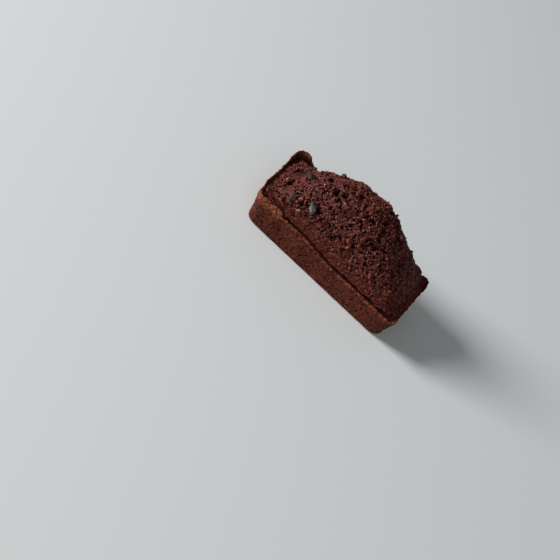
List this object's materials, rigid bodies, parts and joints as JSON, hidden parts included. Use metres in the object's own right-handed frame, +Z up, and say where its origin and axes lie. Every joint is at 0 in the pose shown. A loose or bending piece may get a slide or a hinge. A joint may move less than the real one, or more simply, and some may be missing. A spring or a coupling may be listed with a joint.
{
  "type": "financier cake",
  "caption": "Small rectangular chocolate almond cake with tapered walls, a tall domed crumb top, a thin torn lip of crust and cocoa bean bits baked in. It rests on its flat base.",
  "frame": {"origin": "on the table, under the middle of the cake's box", "axes": "+X along the loaf, away from the end with the tall ear of crust; +Y across it, away from the shown front wall; +Z up"},
  "size_m": [0.1004, 0.0434, 0.0534],
  "materials": {
    "chocolate_crumb": "baked chocolate crumb: dark grainy crust on the dome, lighter porous walls, a faint buttery sheen on the grains",
    "cocoa_bean": "broken bits of roasted cocoa bean, grey to reddish brown, with a waxy gloss on the broken faces"
  },
  "bodies": {
    "root": {"cake": "chocolate_crumb"}
  },
  "joints": []
}
